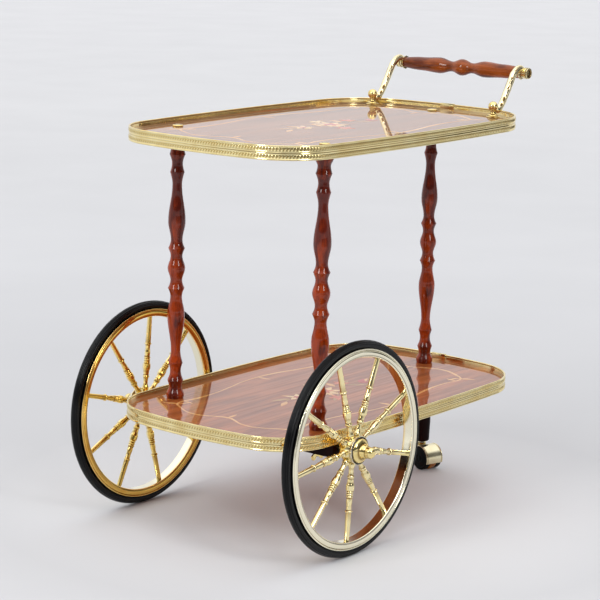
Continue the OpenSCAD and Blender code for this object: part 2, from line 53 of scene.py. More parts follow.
def middle(node):
    low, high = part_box(node)
    return (low + high) / 2


def pose(origin, x_axis, z_axis):
    """Matrix that puts a piece's own Z along z_axis and its own X along x_axis."""
    z_axis = Vector(z_axis).normalized()
    x_axis = Vector(x_axis).normalized()
    y_axis = z_axis.cross(x_axis)
    return Matrix.Translation(origin) @ Matrix((x_axis, y_axis, z_axis)).transposed().to_4x4()


# ---------- colours and node helpers ----------

def srgb(red, green, blue):
    """Linear colour from the usual 0 to 255 values."""
    def linear(value):
        share = value / 255
        return share / 12.92 if share <= 0.04045 else ((share + 0.055) / 1.055) ** 2.4
    return (linear(red), linear(green), linear(blue), 1)


class Surface:
    """A Principled material and the helpers that build its procedural inputs."""

    def __init__(self, name, **sockets):
        self.material = bpy.data.materials.new(name)
        self.material.use_nodes = True
        self.tree = self.material.node_tree
        self.tree.nodes.clear()
        output = self.tree.nodes.new("ShaderNodeOutputMaterial")
        self.shader = self.tree.nodes.new("ShaderNodeBsdfPrincipled")
        self.tree.links.new(self.shader.outputs["BSDF"], output.inputs["Surface"])
        for socket, value in sockets.items():
            self.shader.inputs[socket.replace("_", " ")].default_value = value
        self.coordinates = self.tree.nodes.new("ShaderNodeTexCoord").outputs["Object"]

    def link(self, value, socket):
        self.tree.links.new(value, self.shader.inputs[socket])

    def stretched(self, scale, turn=(0, 0, 0)):
        """Object coordinates scaled along each axis, to draw grain out."""
        node = self.tree.nodes.new("ShaderNodeMapping")
        self.tree.links.new(self.coordinates, node.inputs["Vector"])
        node.inputs["Scale"].default_value = scale
        node.inputs["Rotation"].default_value = turn
        return node.outputs["Vector"]

    def noise(self, scale, vector=None, detail=4, distortion=0, roughness=0.5):
        node = self.tree.nodes.new("ShaderNodeTexNoise")
        self.tree.links.new(vector or self.coordinates, node.inputs["Vector"])
        node.inputs["Scale"].default_value = scale
        node.inputs["Detail"].default_value = detail
        node.inputs["Roughness"].default_value = roughness
        node.inputs["Distortion"].default_value = distortion
        return node.outputs["Fac"]

    def attribute(self, name):
        node = self.tree.nodes.new("ShaderNodeAttribute")
        node.attribute_name = name
        return node.outputs["Fac"]

    def height(self):
        """The piece's own Z coordinate, in metres."""
        node = self.tree.nodes.new("ShaderNodeSeparateXYZ")
        self.tree.links.new(self.coordinates, node.inputs["Vector"])
        return node.outputs["Z"]

    def fit(self, value, low, high, to_low=0, to_high=1):
        """value's range low..high mapped to to_low..to_high, clamped."""
        node = self.tree.nodes.new("ShaderNodeMapRange")
        self.tree.links.new(value, node.inputs["Value"])
        node.inputs["From Min"].default_value = low
        node.inputs["From Max"].default_value = high
        node.inputs["To Min"].default_value = to_low
        node.inputs["To Max"].default_value = to_high
        return node.outputs["Result"]

    def sum(self, a, b, share=1):
        """a plus share of b."""
        node = self.tree.nodes.new("ShaderNodeMath")
        node.operation = "MULTIPLY_ADD"
        self.tree.links.new(b, node.inputs[0])
        node.inputs[1].default_value = share
        self.tree.links.new(a, node.inputs[2])
        return node.outputs["Value"]

    def mix(self, factor, a, b):
        """Colour from a to b; each is a colour or a socket."""
        node = self.tree.nodes.new("ShaderNodeMix")
        node.data_type = "RGBA"
        self.tree.links.new(factor, node.inputs["Factor"])
        for value, socket in ((a, node.inputs[6]), (b, node.inputs[7])):
            if isinstance(value, tuple):
                socket.default_value = value
            else:
                self.tree.links.new(value, socket)
        return node.outputs[2]

    def bump(self, height, distance, strength=1.0, under=None):
        node = self.tree.nodes.new("ShaderNodeBump")
        node.inputs["Strength"].default_value = strength
        node.inputs["Distance"].default_value = distance
        self.tree.links.new(height, node.inputs["Height"])
        if under:
            self.tree.links.new(under, node.inputs["Normal"])
        return node.outputs["Normal"]


# ---------- materials ----------

def brass(name, polish, tarnish, hollow, roughness, smudge=0.1, outboard=None, blend=(0, 0)):
    """Polished brass: cloudy tarnish, painted shade in the hollows, fine polishing marks and finger smudges.
    A wheel's brass turns to the outboard colour between the two heights in blend, in metres."""
    surface = Surface(name, Metallic=1.0)
    clouds = surface.noise(34, detail=5)
    colour = surface.mix(surface.fit(clouds, 0.42, 0.72), polish, tarnish)
    if outboard:
        colour = surface.mix(surface.fit(surface.height(), *blend), colour, outboard)
    # painted shade: hollows darken towards the hollow colour
    colour = surface.mix(surface.attribute("hollow"), colour, hollow)
    surface.link(colour, "Base Color")
    smudges = surface.noise(90, detail=6, distortion=0.6)
    worn = surface.sum(surface.fit(smudges, 0.35, 0.75, roughness, roughness + smudge),
                       surface.attribute("hollow"), 0.12)
    surface.link(worn, "Roughness")
    ripple = surface.bump(surface.noise(150, detail=2), 0.00006, 0.2)
    marks = surface.noise(1.0, surface.stretched((300, 300, 2600)), detail=2)
    surface.link(surface.bump(marks, 0.00001, 0.35, ripple), "Normal")
    return surface.material


def lacquered_wood(name, light, dark, gloom, gloss):
    """Turned wood under lacquer, with its grain along the piece's own Z."""
    surface = Surface(name, Specular_IOR_Level=0.05, Coat_Weight=gloss, Coat_Roughness=0.03, Coat_IOR=1.4)
    figure = surface.noise(1.0, surface.stretched((42, 42, 7)), detail=3, distortion=1.1)
    grain = surface.noise(1.0, surface.stretched((520, 520, 16)), detail=5, distortion=0.4)
    pores = surface.noise(1.0, surface.stretched((1900, 1900, 70)), detail=2)
    colour = surface.mix(surface.fit(figure, 0.42, 0.6), dark, light)
    shade = surface.fit(grain, 0.5, 0.74, 0, 0.55)
    colour = surface.mix(shade, colour, gloom)
    colour = surface.mix(surface.fit(pores, 0.6, 0.74, 0, 0.45), colour, gloom)
    # painted shade: hollows darken towards the gloom colour
    colour = surface.mix(surface.fit(surface.attribute("hollow"), 0, 1, 0, 0.6), colour, gloom)
    surface.link(colour, "Base Color")
    surface.link(surface.fit(grain, 0.3, 0.7, 0.28, 0.42), "Roughness")
    wavy = surface.bump(surface.noise(70, detail=2), 0.0004, 0.12)
    surface.link(surface.bump(pores, 0.00003, 0.25, wavy), "Normal")
    return surface.material


def veneer(name, light, dark, streak, scale=1.0, turn=0.0, gloss=1.0):
    """Sliced veneer under gloss lacquer, with its grain along X turned by an angle."""
    surface = Surface(name, Specular_IOR_Level=0.05, Coat_Weight=gloss, Coat_Roughness=0.03, Coat_IOR=1.45)

    def cells(along, across, deep):
        return surface.stretched((along * scale, across * scale, deep), (0, 0, turn))

    figure = surface.noise(1.0, cells(2.6, 21, 9), detail=4, distortion=1.3)
    grain = surface.noise(1.0, cells(10, 170, 90), detail=6, distortion=0.35)
    pores = surface.noise(1.0, cells(70, 1500, 900), detail=2)
    colour = surface.mix(surface.fit(figure, 0.38, 0.62), dark, light)
    colour = surface.mix(surface.fit(grain, 0.46, 0.72, 0, 0.45), colour, streak)
    colour = surface.mix(surface.fit(pores, 0.57, 0.75, 0, 0.35), colour, streak)
    surface.link(colour, "Base Color")
    surface.link(surface.fit(grain, 0.3, 0.7, 0.3, 0.45), "Roughness")
    surface.link(surface.bump(surface.noise(14, detail=2), 0.0002, 0.03), "Normal")
    return surface.material


def rubber(name):
    """Black rubber with a faint bloom and moulding grain."""
    surface = Surface(name, Specular_IOR_Level=0.2)
    bloom = surface.noise(26, detail=5, distortion=0.4)
    colour = surface.mix(surface.fit(bloom, 0.4, 0.75), srgb(7, 8, 10), srgb(15, 16, 18))
    # painted shade: grooves and hollows darken towards near black
    surface.link(surface.mix(surface.attribute("hollow"), colour, srgb(4, 4, 5)), "Base Color")
    surface.link(surface.fit(bloom, 0.3, 0.75, 0.18, 0.28), "Roughness")
    surface.link(surface.bump(surface.noise(900, detail=3), 0.00002, 0.25), "Normal")
    return surface.material


def moulded(name, light, dark, roughness, mottle=30, shine=0.5):
    """Moulded plastic with a mottled colour and a fine skin."""
    surface = Surface(name, Specular_IOR_Level=shine)
    mottled = surface.noise(mottle, detail=5, distortion=0.8)
    surface.link(surface.mix(surface.fit(mottled, 0.35, 0.7), dark, light), "Base Color")
    surface.link(surface.fit(mottled, 0.3, 0.7, roughness, roughness + 0.14), "Roughness")
    surface.link(surface.bump(surface.noise(1300, detail=3), 0.00003, 0.4), "Normal")
    return surface.material


def steel(name, light, dark, roughness):
    """Plated steel with turning marks round the piece's own Z."""
    surface = Surface(name, Metallic=1.0)
    stain = surface.noise(60, detail=5)
    surface.link(surface.mix(surface.fit(stain, 0.4, 0.72), light, dark), "Base Color")
    surface.link(surface.fit(stain, 0.3, 0.7, roughness, roughness + 0.16), "Roughness")
    rings = surface.noise(1.0, surface.stretched((60, 60, 3500)), detail=2)
    surface.link(surface.bump(rings, 0.00002, 0.4), "Normal")
    return surface.material


POLISHED = brass("polished_brass", srgb(247, 226, 158), srgb(234, 204, 124), srgb(120, 82, 28), 0.07)
GALLERY = brass("gallery_brass", srgb(250, 234, 178), srgb(236, 212, 148), srgb(186, 160, 94), 0.1,
                smudge=0.06)
RIM_BRASS = brass("rim_brass", srgb(250, 206, 104), srgb(238, 182, 78), srgb(84, 50, 14), 0.08,
                  outboard=srgb(252, 246, 220), blend=(-0.0095, -0.0035))
SPOKE_BRASS = brass("spoke_brass", srgb(250, 214, 112), srgb(240, 192, 88), srgb(156, 112, 44), 0.08,
                    outboard=srgb(253, 238, 184), blend=(-0.003, 0.001))
HANDLE_BRASS = brass("handle_brass", srgb(254, 242, 200), srgb(244, 226, 170), srgb(120, 86, 36), 0.09)
HOOD_BRASS = brass("hood_brass", srgb(242, 232, 196), srgb(228, 214, 172), srgb(140, 110, 60), 0.17,
                   smudge=0.08)
PALE_PLATE = brass("nickel_plate", srgb(240, 232, 208), srgb(222, 213, 186), srgb(26, 24, 22), 0.1)
STEEL = steel("zinc_steel", srgb(196, 196, 194), srgb(150, 150, 150), 0.24)
MAHOGANY = lacquered_wood("turned_mahogany", srgb(166, 60, 12), srgb(94, 24, 6), srgb(34, 9, 5), 1.0)
GRIP_WOOD = lacquered_wood("grip_mahogany", srgb(166, 84, 32), srgb(106, 46, 16), srgb(48, 17, 7), 0.8)
DARK_WOOD = lacquered_wood("dark_stained_wood", srgb(34, 12, 9), srgb(22, 8, 6), srgb(8, 4, 4), 0.03)
# Both trays are one walnut veneer in lit and shaded copies: the upper is duller against the light from above,
# and the lower is more orange and lighter, painted light for the shade under the upper tray.
UPPER_WALNUT = veneer("upper_walnut_veneer", srgb(166, 106, 62), srgb(134, 84, 48), srgb(94, 58, 38))
LOWER_WALNUT = veneer("lower_walnut_veneer", srgb(186, 104, 50), srgb(150, 80, 38), srgb(104, 54, 30))
MAPLE = veneer("maple_inlay", srgb(244, 190, 122), srgb(230, 164, 94), srgb(196, 128, 70), 1.6, 0.5)
CREAM = veneer("holly_inlay", srgb(250, 216, 160), srgb(240, 194, 132), srgb(212, 160, 104), 1.8, 1.2)
CORAL = veneer("coral_inlay", srgb(232, 128, 84), srgb(214, 104, 66), srgb(170, 76, 46), 1.8, 0.9)
RED = veneer("red_inlay", srgb(206, 82, 70), srgb(182, 58, 54), srgb(136, 40, 38), 1.8, 2.1)
LEAF = veneer("leaf_inlay", srgb(206, 158, 94), srgb(172, 124, 70), srgb(124, 84, 48), 1.8, 0.3)
TYRE = rubber("tyre_rubber")
NYLON = moulded("black_nylon", srgb(9, 9, 10), srgb(5, 5, 6), 0.5, shine=0.1)
AMBER = moulded("amber_nylon", srgb(196, 122, 44), srgb(128, 70, 24), 0.26, 90)


# ---------- mesh helpers ----------

def placed(name, data, matrix=None):
    part = bpy.data.objects.new(name, data)
    bpy.context.scene.collection.objects.link(part)
    if matrix:
        part.matrix_world = matrix
    return part


def piece(name, vertices, faces, material, body, nodes=(), matrix=None, hollow=None, sharp=38):
    """A smooth piece in millimetres of its own frame, which rides on a body and stands for CAD nodes."""
    mesh = bpy.data.meshes.new(name)
    mesh.from_pydata([Vector(v) * MM for v in vertices], [], faces)
    mesh.update()
    # the hollow values are painted shade, darkening the piece's recesses in its material
    if hollow:
        layer = mesh.attributes.new("hollow", "FLOAT", "POINT")
        layer.data.foreach_set("value", hollow)
    part = placed(name, mesh, matrix)
    outward = bmesh.new()
    outward.from_mesh(mesh)
    bmesh.ops.recalc_face_normals(outward, faces=outward.faces)
    outward.to_mesh(mesh)
    outward.free()
    mesh.shade_smooth()
    mesh.set_sharp_from_angle(angle=math.radians(sharp))
    mesh.materials.append(material)
    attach(part, body)
    if nodes:
        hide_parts(*nodes)


def concavity(profile, closed):
    """How hollow a turned profile is at each point, from 0 to 1; the profile runs along +height."""
    count = len(profile)
    area = sum(a[0] * b[1] - b[0] * a[1] for a, b in zip(profile, profile[1:] + profile[:1]))
    side = math.copysign(1, area) if closed else 1
    found = []
    for i in range(count):
        before = profile[(i - 1) % count] if closed or i else profile[0]
        after = profile[(i + 1) % count] if closed or i < count - 1 else profile[-1]
        ax, ay = profile[i][0] - before[0], profile[i][1] - before[1]
        bx, by = after[0] - profile[i][0], after[1] - profile[i][1]
        length = (math.hypot(ax, ay) + math.hypot(bx, by)) / 2
        turn = math.atan2(ax * by - ay * bx, ax * bx + ay * by) if length else 0
        found.append(max(0, min(1, -side * turn / max(length, 0.15) * CONCAVE_RADIUS)))
    soft = []
    for i in range(count):
        left = found[(i - 1) % count] if closed or i else found[0]
        right = found[(i + 1) % count] if closed or i < count - 1 else found[-1]
        soft.append(max(found[i], 0.5 * (left + right)))
    return soft


def lathe(profile, segments=96, closed=False):
    """Vertices, faces and hollows of a shape turned about Z, from (radius, height) points."""
    vertices = []
    rings = []
    hollow = []
    for (radius, height), value in zip(profile, concavity(profile, closed)):
        start = len(vertices)
        if radius < 1e-6:
            rings.append([start])
            vertices.append((0, 0, height))
        else:
            rings.append(list(range(start, start + segments)))
            for k in range(segments):
                angle = 2 * math.pi * k / segments
                vertices.append((radius * math.cos(angle), radius * math.sin(angle), height))
        hollow += [value] * (len(vertices) - start)
    return vertices, ring_faces(rings, segments, closed), hollow


def ring_faces(rings, segments, closed):
    """Faces between rings of vertex numbers; a ring of one is a point."""
    faces = []
    pairs = list(zip(rings, rings[1:]))
    if closed:
        pairs.append((rings[-1], rings[0]))
    for lower, upper in pairs:
        for k in range(segments):
            corners = [lower[k % len(lower)], lower[(k + 1) % segments % len(lower)],
                       upper[(k + 1) % segments % len(upper)], upper[k % len(upper)]]
            face = list(dict.fromkeys(corners))
            if len(face) > 2:
                faces.append(face)
    return faces


def merged(parts):
    """One set of vertices, faces and hollows from several."""
    vertices, faces, hollow = [], [], []
    for part_vertices, part_faces, part_hollow in parts:
        start = len(vertices)
        vertices += part_vertices
        faces += [[start + i for i in face] for face in part_faces]
        hollow += part_hollow
    return vertices, faces, hollow


def moved(part, matrix):
    vertices, faces, hollow = part
    return [tuple(matrix @ Vector(v)) for v in vertices], faces, hollow


def lathed(name, profile, segments, material, body, nodes, matrix, closed=False):
    """A piece turned about its own Z."""
    vertices, faces, hollow = lathe(profile, segments, closed)
    piece(name, vertices, faces, material, body, nodes, matrix, hollow)


def turned(stations, steps=8):
    """Profile of a turned part from stations (place, diameter, edge), rounded where there is no edge."""
    profile = [(stations[0][1] / 2, stations[0][0])]
    for (place_a, size_a, edge_a), (place_b, size_b, edge_b) in zip(stations, stations[1:]):
        for j in range(1, steps + 1):
            t = j / steps
            if edge_a and edge_b:
                share = t
            elif edge_a:
                share = math.sin(math.pi / 2 * t)
            elif edge_b:
                share = 1 - math.cos(math.pi / 2 * t)
            else:
                share = (1 - math.cos(math.pi * t)) / 2
            profile.append(((size_a + (size_b - size_a) * share) / 2, place_a + (place_b - place_a) * t))
    return profile


def solid(profile):
    """The profile closed onto the axis at both ends."""
    return [(0, profile[0][1])] + profile + [(0, profile[-1][1])]


def mirrored(half):
    """Stations of a part that is the same on both sides of its first station."""
    return [(-place, size, edge) for place, size, edge in reversed(half[1:])] + list(half)


def arc(centre_r, centre_h, radius, start, end, steps):
    """Points of a profile along an arc, angles in degrees from the outward radius."""
    points = []
    for i in range(steps + 1):
        angle = math.radians(start + (end - start) * i / steps)
        points.append((centre_r + radius * math.cos(angle), centre_h + radius * math.sin(angle)))
    return points


def ease(value, low, high):
    share = max(0, min(1, (value - low) / (high - low)))
    return share * share * (3 - 2 * share)


def curve(points, t):
    """Smooth point and direction on a Catmull-Rom curve through points, t from 0 to 1."""
    place = min(t * (len(points) - 1), len(points) - 1 - 1e-9)
    i = int(place)
    u = place - i
    a, b, c, d = (Vector(points[max(0, min(len(points) - 1, k))]) for k in (i - 1, i, i + 1, i + 2))
    square = 2 * a - 5 * b + 4 * c - d
    cube = 3 * b - a - 3 * c + d
    point = 0.5 * (2 * b + (c - a) * u + square * u * u + cube * u ** 3)
    slope = 0.5 * ((c - a) + 2 * square * u + 3 * cube * u * u)
    return point, slope.normalized()


def softened(node, width, material, body, segments=2, sharp=38):
    """A CAD node's own shape with its edges rounded off."""
    shape = bmesh.new()
    shape.from_mesh(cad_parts[node].data)
    bmesh.ops.remove_doubles(shape, verts=shape.verts, dist=2e-6)
    bmesh.ops.dissolve_limit(shape, angle_limit=math.radians(1), verts=shape.verts, edges=shape.edges)
    edges = [e for e in shape.edges if len(e.link_faces) == 2 and e.calc_face_angle() > math.radians(35)]
    bmesh.ops.bevel(shape, geom=edges, offset=width * MM, segments=segments, profile=0.5,
                    affect="EDGES", clamp_overlap=True)
    mesh = bpy.data.meshes.new(node + "_finished")
    shape.to_mesh(mesh)
    shape.free()
    mesh.shade_smooth()
    mesh.set_sharp_from_angle(angle=math.radians(sharp))
    part = placed(node + "_finished", mesh)
    mesh.materials.append(material)
    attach(part, body)
    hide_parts(node)


# ---------- wheels ----------

WHEEL_R = 165
SPOKES = 9
SPOKE = [(20.05, 9.4, True), (24, 11, False), (30.5, 7.4, False), (36, 7.4, False), (40, 8.8, True),
         (42.2, 10.8, False), (44.6, 8.8, True), (50, 9.6, False), (56.5, 12.8, False), (63, 12.2, True),
         (63.8, 9.2, True), (65.5, 10.8, False), (67.2, 8.8, True), (69.2, 10.8, False), (71, 8.8, True),
         (73, 10.8, False), (75, 8.6, False), (80, 9.3, False), (88, 7.8, False), (93.6, 8.2, True),
         (95.4, 11.2, False), (97.2, 8.8, True), (140.8, 7.8, True)]
SPOKE_TURN = {"left": 26.2, "right": 5.2}     # degrees from the front to the first spoke
HUB = [(4.1, -17.6), (8.4, -17.6), (9, -17), (9, -13.6), (10.4, -12.6), (12, -11), (16.8, -10.4),
       (18.2, -9.8), (19.6, -8.2), (20, -6.8), (20, 6.8), (19.6, 8.2), (18, 9.6), (18, 11.5), (4.1, 11.5)]
HUB_PLATE = [(4.1, 11.5), (21.4, 11.5), (21.9, 12), (22, 12.8), (21.7, 13.7), (21.2, 14.0), (20.8, 13.9),
             (20.5, 13.3), (20.1, 12.9), (19.7, 12.9), (19.3, 13.3), (19.0, 14.0), (4.1, 14.0)]
FINIAL_BASE = 14.3
FINIAL = [(0, 36, True), (0.3, 37, True), (0.6, 37.2, False), (6.2, 23, True), (6.5, 23.8, True),
          (7.3, 23.6, True), (12.6, 19.6, True), (13.2, 18.4, True), (13.8, 17.8, True), (19, 17.6, False),
          (24.4, 11.6, True), (25.3, 7, True), (25.7, 2, True)]
TYRE_TUBE_R = 6.8
SIDE_BANDS_AT = (46, 68)            # degrees round the tyre's section from the tread
TREAD_GROOVES_AT = (12, 30, 57)


def tyre_profile():
    """Round tyre with two raised bands on each side and a ribbed tread."""
    points = []
    for i in range(-112, 113, 2):
        swell = sum(0.45 * math.exp(-((abs(i) - at) / 4.5) ** 2) for at in SIDE_BANDS_AT)
        groove = sum(0.4 * math.exp(-((abs(i) - at) / 2.6) ** 2) for at in TREAD_GROOVES_AT)
        radius = TYRE_TUBE_R - 0.3 + (swell - groove if abs(i) > 6 else 0)
        angle = math.radians(i)
        points.append((WHEEL_R - TYRE_TUBE_R + (0.3 + radius) * math.cos(angle), radius * math.sin(angle)))
    return points + [(149.6, 4.6), (149.6, -4.6)]


def rim_profile():
    """Rolled rim: flat inner band, a broad swelling on each side, a narrow valley and a lip by the tyre."""
    side = arc(143.0, 6.9, 2.5, 180, 100, 7) + arc(146.0, 1.04, 8.96, 112, 68, 10)
    side += [(149.9, 8.8), (150.2, 8.0)]
    side += arc(151.7, 7.9, 1.3, 205, -60, 12)
    well = [(150.6, 5.9), (149.7, 4.7), (149.7, -4.7), (150.6, -5.9)]
    return [(r, -h) for r, h in reversed(side)] + side + well


def make_wheel(side, sign):
    body = "wheel_" + side
    stand = pose(middle(body + "_rim"), (1, 0, 0), (0, sign, 0))
    lathed(body + "_tyre_moulded", tyre_profile(), 192, TYRE, body, [body + "_tyre"],
           stand, True)
    lathed(body + "_rim_rolled", rim_profile(), 192, RIM_BRASS, body, [body + "_rim"],
           stand, True)

    bar = lathe(solid(turned(SPOKE, 6)), 28)
    turns = []
    for i in range(SPOKES):
        angle = -sign * math.radians(SPOKE_TURN[side] + i * 360 / SPOKES)
        turns.append(moved(bar, Matrix.Rotation(angle, 4, "Z") @ Matrix.Rotation(math.pi / 2, 4, "Y")))
    vertices, faces, hollow = merged(turns)
    piece(body + "_spokes_turned", vertices, faces, SPOKE_BRASS, body, [body + "_spokes"],
          stand, hollow)

    lathed(body + "_hub_turned", HUB, 96, SPOKE_BRASS, body, [body + "_hub"], stand, True)
    lathed(body + "_hub_plate_turned", HUB_PLATE, 96, PALE_PLATE, body,
           [body + "_hub_plate"], stand, True)
    finial = [(r, h + FINIAL_BASE) for r, h in turned(FINIAL, 6)]
    lathed("axle_cap_nut_%s_turned" % side, solid(finial), 72, POLISHED, "frame",
           ["axle_cap_nut_" + side], stand)


make_wheel("left", -1)
make_wheel("right", 1)


# ---------- posts, grip and foot ----------

POST_HALF = [(0, 27.7, False), (19, 18.8, False), (31.8, 26.3, True), (44.7, 18.5, False),
             (74.7, 27.5, False), (132, 15.2, False), (152, 22.8, True), (165, 17.1, False),
             (180, 25.2, True), (191.3, 20.2, False), (203, 28.2, False), (209.2, 26, True)]
GRIP_HALF = [(0, 28, False), (20.5, 17.3, False), (46, 27, False), (82, 23, False), (118, 17.5, True)]
UP = (0, 0, 1)

for node in ("axle_post_left", "axle_post_right", "handle_end_post"):
    lathed(node + "_turned", solid(turned(mirrored(POST_HALF), 8)), 96, MAHOGANY, "frame",
           [node], pose(middle(node), (1, 0, 0), UP))

lathed("handle_grip_turned", solid(turned(mirrored(GRIP_HALF), 12)), 96, GRIP_WOOD, "frame",
       ["handle_grip"], pose(middle("handle_grip"), (1, 0, 0), (0, 1, 0)))

low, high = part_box("caster_foot")
foot_h = (high.z - low.z) / MM
foot = [(0, 21, True), (0.8, 23.4, True), (2.8, 26, False), (40, 28.2, False), (90, 29.4, False),
        (foot_h, 29.4, True)]
lathed("caster_foot_turned", solid(turned(foot, 8)), 96, DARK_WOOD, "frame",
       ["caster_foot"], pose(Vector((middle("caster_foot").x, 0, low.z)), (1, 0, 0), UP))


# ---------- tray galleries ----------

END_ARC_R = 750
SIDE_ARC_R = 3600
HANDLE_CORNER_R = 105
FRONT_CORNER_R = 93
DASH_PITCH = 5.0
DASH_STEPS = 5          # rings of the strip to each stroke
DASH_SLANT = 0.5        # share of the pitch that a stroke leans across its band
STROKE_RISE = 0.8
BANDS_FROM = (2.9, 13.7)
BAND_W = 5.6
low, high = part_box("upper_gallery")
TRAY_MID = (low.x + high.x) / 2 / MM
TRAY_HALF_L = (high.x - low.x) / 2 / MM
TRAY_HALF_W = (high.y - low.y) / 2 / MM


def tray_arcs(corner_r):
    """Centre, radius, start and end angle of the three arcs of a quarter outline, about the tray's middle."""
    end = Vector((TRAY_HALF_L - END_ARC_R, 0))
    side = Vector((0, TRAY_HALF_W - SIDE_ARC_R))
    between = side - end
    near = END_ARC_R - corner_r
    far = SIDE_ARC_R - corner_r
    along = (between.length ** 2 + near ** 2 - far ** 2) / (2 * between.length)
    across = math.sqrt(near ** 2 - along ** 2)
    unit = between.normalized()
    corner = end + unit * along + Vector((-unit.y, unit.x)) * across
    a_end = math.atan2(corner.y - end.y, corner.x - end.x)
    a_side = math.atan2(corner.y - side.y, corner.x - side.x)
    return [(end, END_ARC_R, 0, a_end), (corner, corner_r, a_end, a_side),
            (side, SIDE_ARC_R, a_side, math.pi / 2)]


def arc_length(arcs):
    return sum(radius * (stop - start) for centre, radius, start, stop in arcs)


ARCS = [tray_arcs(HANDLE_CORNER_R), tray_arcs(FRONT_CORNER_R)]
LENGTHS = [arc_length(arcs) for arcs in ARCS]
LAP = 2 * sum(LENGTHS)


def outline(distance):
    """Point and outward direction at a distance along the tray's outline, from the handle end."""
    left = distance % LAP
    flip_y = 1
    if left > LAP / 2:
        left = LAP - left
        flip_y = -1
    front = left > LENGTHS[0]
    if front:
        left = LAP / 2 - left
    for centre, radius, start, stop in ARCS[front]:
        if left <= radius * (stop - start) + 1e-6:
            break
        left -= radius * (stop - start)
    angle = start + left / radius
    out = Vector((math.cos(angle), math.sin(angle)))
    point = centre + out * radius
    flip_x = -1 if front else 1
    return Vector((TRAY_MID + point.x * flip_x, point.y * flip_y)), Vector((out.x * flip_x, out.y * flip_y))


def gallery_section():
    """Section of the strip as (inset, height, place across a patterned band or None, hollow)."""
    def plain(*points):
        rows.extend((inset, height, None, hollow) for inset, height, hollow in points)

    def band(start):
        rows.extend((0.85, start + BAND_W * i / 8, i / 8, 0) for i in range(9))

    rows = []
    # the last number of each row is painted shade, set in the middle groove and the groove under the top bead
    plain((2.9, 0.2, 0), (1.6, 0.0, 0), (0.5, 0.1, 0), (0.1, 0.6, 0), (0.0, 1.4, 0), (0.2, 2.2, 0),
          (0.65, 2.6, 0))
    band(BANDS_FROM[0])
    plain((0.6, 8.8, 0), (0.45, 9.3, 0), (0.55, 10.4, 0), (0.75, 10.8, 0.6), (0.75, 11.4, 0.6),
          (0.55, 11.8, 0), (0.45, 12.9, 0), (0.6, 13.4, 0))
    band(BANDS_FROM[1])
    plain((0.65, 19.6, 0), (0.15, 20.1, 0), (0.0, 20.8, 0), (0.1, 21.5, 0), (0.6, 21.9, 0), (1.5, 22.0, 0),
          (2.4, 21.9, 0), (3.0, 21.4, 0), (3.2, 20.8, 0), (2.9, 20.2, 0), (2.0, 19.8, 0.6), (2.0, 18.9, 0.6),
          (2.9, 18.5, 0.6), (3.0, 17.8, 0), (3.0, 8.0, 0))
    return rows


def make_gallery(name):
    """Strip swept round a tray, with two bands of slanted strokes embossed in its outer face."""
    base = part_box(name)[0].z / MM
    count = round(LAP / DASH_PITCH) * DASH_STEPS
    section = gallery_section()
    vertices, hollow, rings = [], [], []
    for i in range(count):
        point, out = outline(LAP * i / count)
        rings.append(list(range(len(vertices), len(vertices) + len(section))))
        for inset, rise, band, shade in section:
            raised = 0
            if band is not None:
                wave = 0.5 + 0.5 * math.cos(2 * math.pi * (i / DASH_STEPS - DASH_SLANT * (band - 0.5)))
                swell = math.sin(math.pi * band) ** 0.6
                raised = ease(wave, 0.25, 0.95) * swell
                # painted shade in the gaps between the raised strokes
                shade = swell * (1 - ease(wave, 0.35, 0.85))
            hollow.append(shade)
            spot = point - out * (inset - STROKE_RISE * raised)
            vertices.append((spot.x, spot.y, base + rise))
    piece(name + "_strip", vertices, ring_faces(rings, len(section), True), GALLERY, "frame",
          [name], None, hollow, sharp=60)


make_gallery("upper_gallery")
make_gallery("lower_gallery")
softened("upper_gallery_sleeve", 0.3, GALLERY, "frame")
softened("lower_gallery_sleeve", 0.3, GALLERY, "frame")


# ---------- marquetry ----------

INLAY_DEPTH = 0.3
INLAY_RISE = 0.04
INLAY_STEP = 0.0012     # each leaf or petal lies this much above the one before
BORDER_QUARTER = [(0, 137), (44, 134), (86, 125), (132, 117), (178, 115), (208, 119), (226, 114), (238, 98),
                  (254, 68), (254, 40), (242, 15), (238, 0)]
BORDER_STEPS = 10       # between two points of the border


def blade(x, y, length, width, angle, bend=0.0):
    """Outline of a pointed leaf or petal that grows from a point, bent sideways by a share of its length."""
    heading = math.radians(angle)
    along = Vector((math.cos(heading), math.sin(heading)))
    across = Vector((-along.y, along.x))
    steps = 14
    points = []
    for side in (1, -1):
        for i in range(steps):
            t = i / steps if side > 0 else 1 - i / steps
            half = side * width / 2 * math.sin(math.pi * t ** 0.8)
            points.append(Vector((x, y)) + along * length * t + across * (half + bend * length * t * t))
    return points


def stalk(route, start_width, end_width):
    """Outline of a thin strip along a smooth route."""
    steps = 8 * (len(route) - 1)
    left, right = [], []
    for i in range(steps + 1):
        t = i / steps
        point, along = curve(route, t)
        off = Vector((-along.y, along.x)) * (start_width + (end_width - start_width) * t) / 2
        left.append(point + off)
        right.append(point - off)
    return left + right[::-1]


def petals(x, y, count, length, width, start):
    return [blade(x, y, length, width, start + i * 360 / count, 0.08) for i in range(count)]


def prism(points, low, high):
    """Closed plate between two heights, with its hollows."""
    count = len(points)
    vertices = [(p.x, p.y, low) for p in points] + [(p.x, p.y, high) for p in points]
    faces = [list(range(count))[::-1], list(range(count, 2 * count))]
    faces += [[i, (i + 1) % count, count + (i + 1) % count, count + i] for i in range(count)]
    return vertices, faces, [0] * (2 * count)


